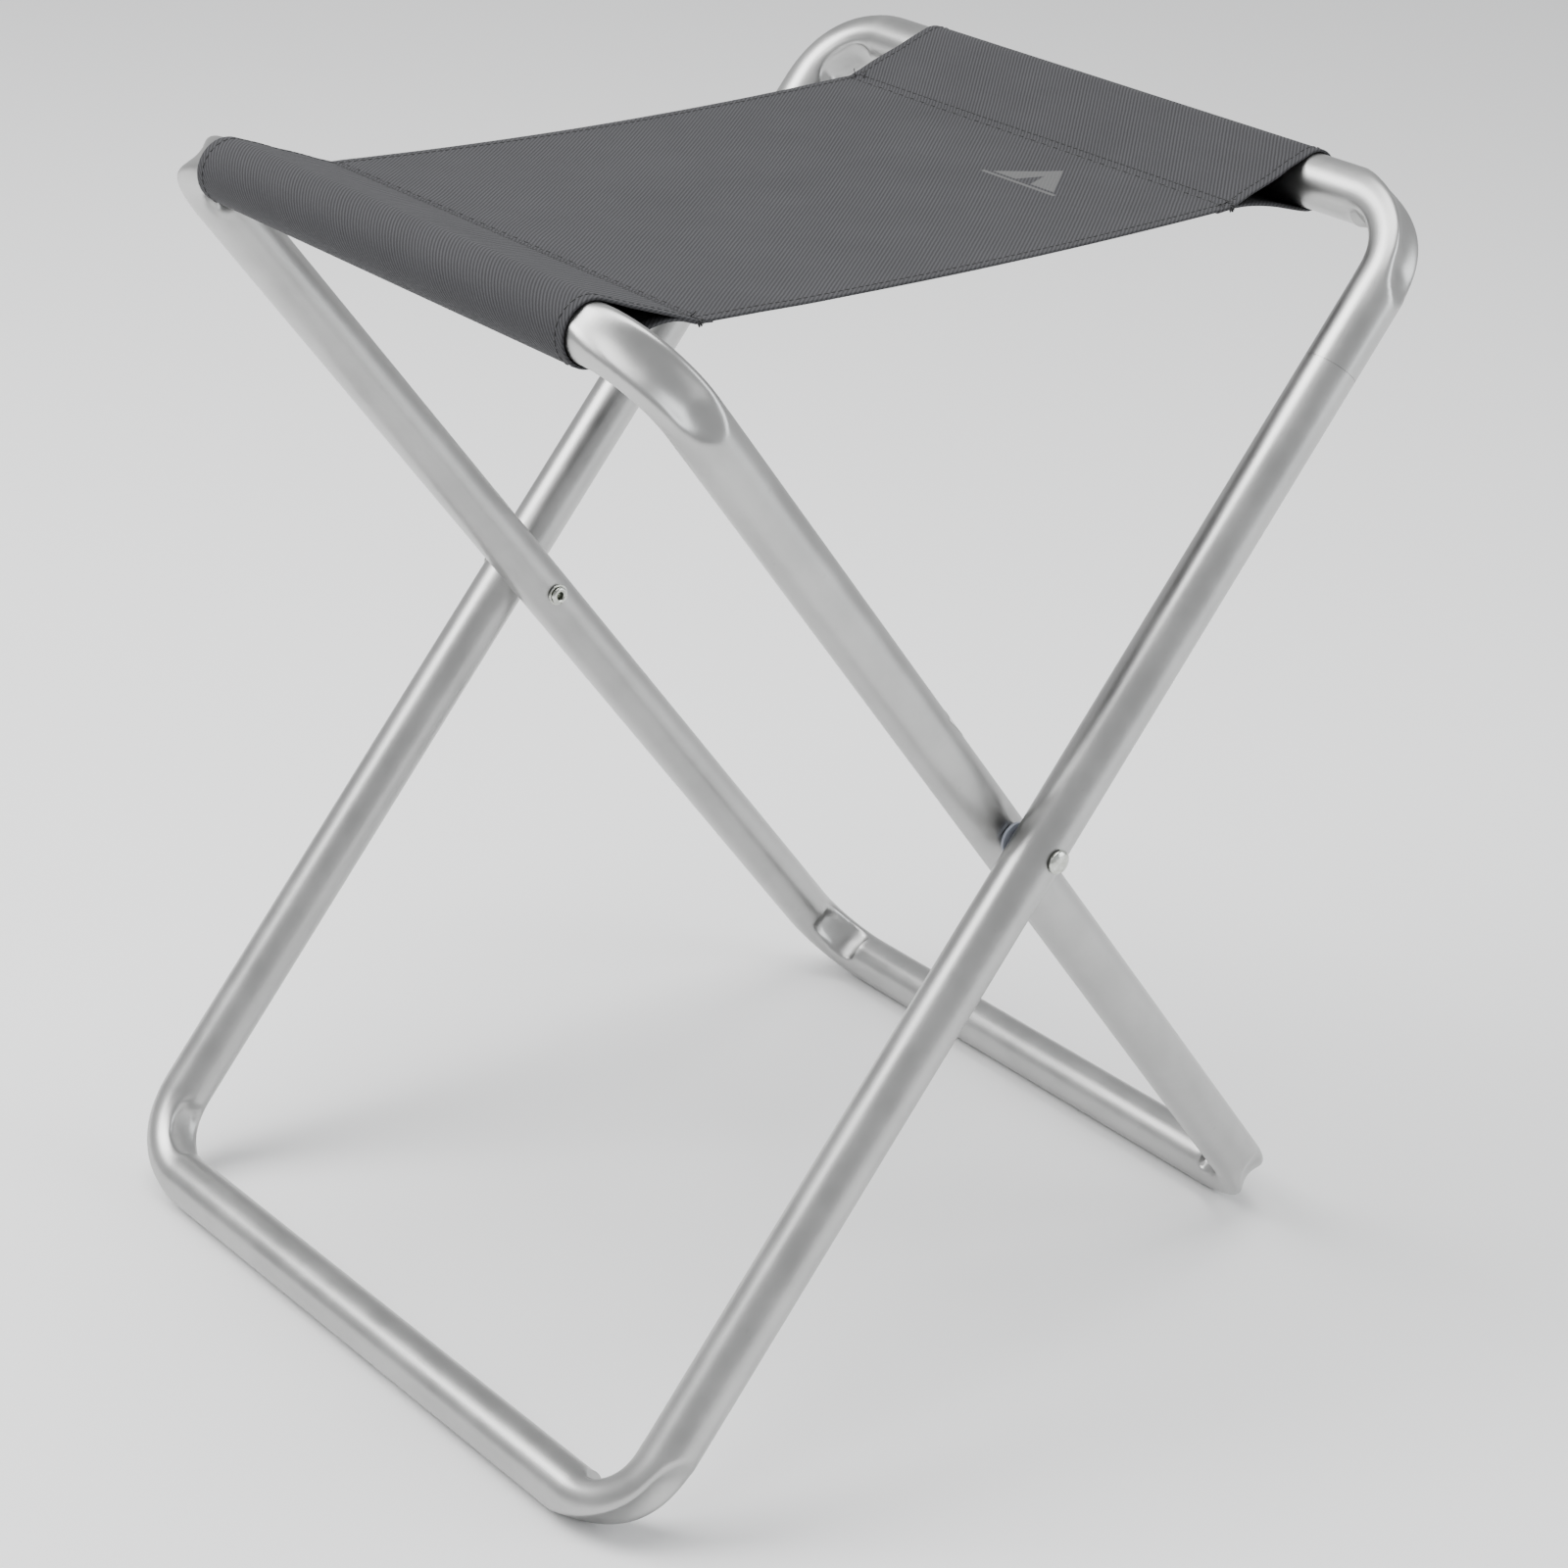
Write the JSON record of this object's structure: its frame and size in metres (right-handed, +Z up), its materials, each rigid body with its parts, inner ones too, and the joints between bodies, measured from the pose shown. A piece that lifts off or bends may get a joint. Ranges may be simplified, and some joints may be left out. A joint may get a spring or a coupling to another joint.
{
  "type": "camp stool",
  "caption": "Folding camp stool: crossed bent-tube frames that turn on rivets, with a cloth sling seat whose end tunnels wrap the top rails.",
  "frame": {"origin": "centre of the footprint, on the floor that both foot rails stand on", "axes": "+Z up; +X along the rivets' axis and the rails; +Y towards the outer frame's top rail, the rear of the seat"},
  "size_m": [0.3616, 0.402, 0.4784],
  "materials": {
    "frame_aluminium": "satin anodised",
    "zinc_steel": "bright zinc plated",
    "spacer_nylon": "matte",
    "seat_cloth": "woven polyester twill, matte"
  },
  "bodies": {
    "outer_frame": {"outer_frame_tube": "frame_aluminium", "outer_frame_joint_insert": "frame_aluminium", "right_pivot_rivet": "zinc_steel", "left_pivot_rivet": "zinc_steel", "right_spacer_washer": "spacer_nylon", "left_spacer_washer": "spacer_nylon", "right_clinch_washer": "zinc_steel", "left_clinch_washer": "zinc_steel"},
    "inner_frame": {"inner_frame_tube": "frame_aluminium", "inner_frame_joint_insert": "frame_aluminium"},
    "seat_rear": {"seat_rear_tunnel": "seat_cloth", "seat_rear_panel": "seat_cloth"},
    "seat_front": {"seat_front_panel": "seat_cloth"},
    "front_tunnel": {"seat_front_tunnel": "seat_cloth"}
  },
  "joints": [
    {"name": "frame_fold", "type": "hinge", "parent": "outer_frame", "child": "inner_frame", "pos_m": [0, 0, 0.244], "axis": [-1, 0, 0], "range_deg": [0, 71.79], "deforming": ["seat_front_panel"]},
    {"name": "rear_tunnel_turn", "type": "hinge", "parent": "outer_frame", "child": "seat_rear", "pos_m": [0, 0.18076, 0.46563], "axis": [1, 0, 0], "range_deg": [0, 49.06]},
    {"name": "seat_crease", "type": "hinge", "parent": "seat_rear", "child": "seat_front", "pos_m": [0, 0, 0.46623], "axis": [-1, 0, 0], "range_deg": [0, 169.91]},
    {"name": "front_tunnel_turn", "type": "hinge", "parent": "inner_frame", "child": "front_tunnel", "pos_m": [0, -0.18076, 0.46563], "axis": [-1, 0, 0], "range_deg": [0, 49.06]}
  ],
  "couplings": [
    {"joint": "rear_tunnel_turn", "follows": "frame_fold", "ratio": 0.68343},
    {"joint": "seat_crease", "follows": "frame_fold", "ratio": 2.3669},
    {"joint": "front_tunnel_turn", "follows": "frame_fold", "ratio": 0.68343}
  ]
}
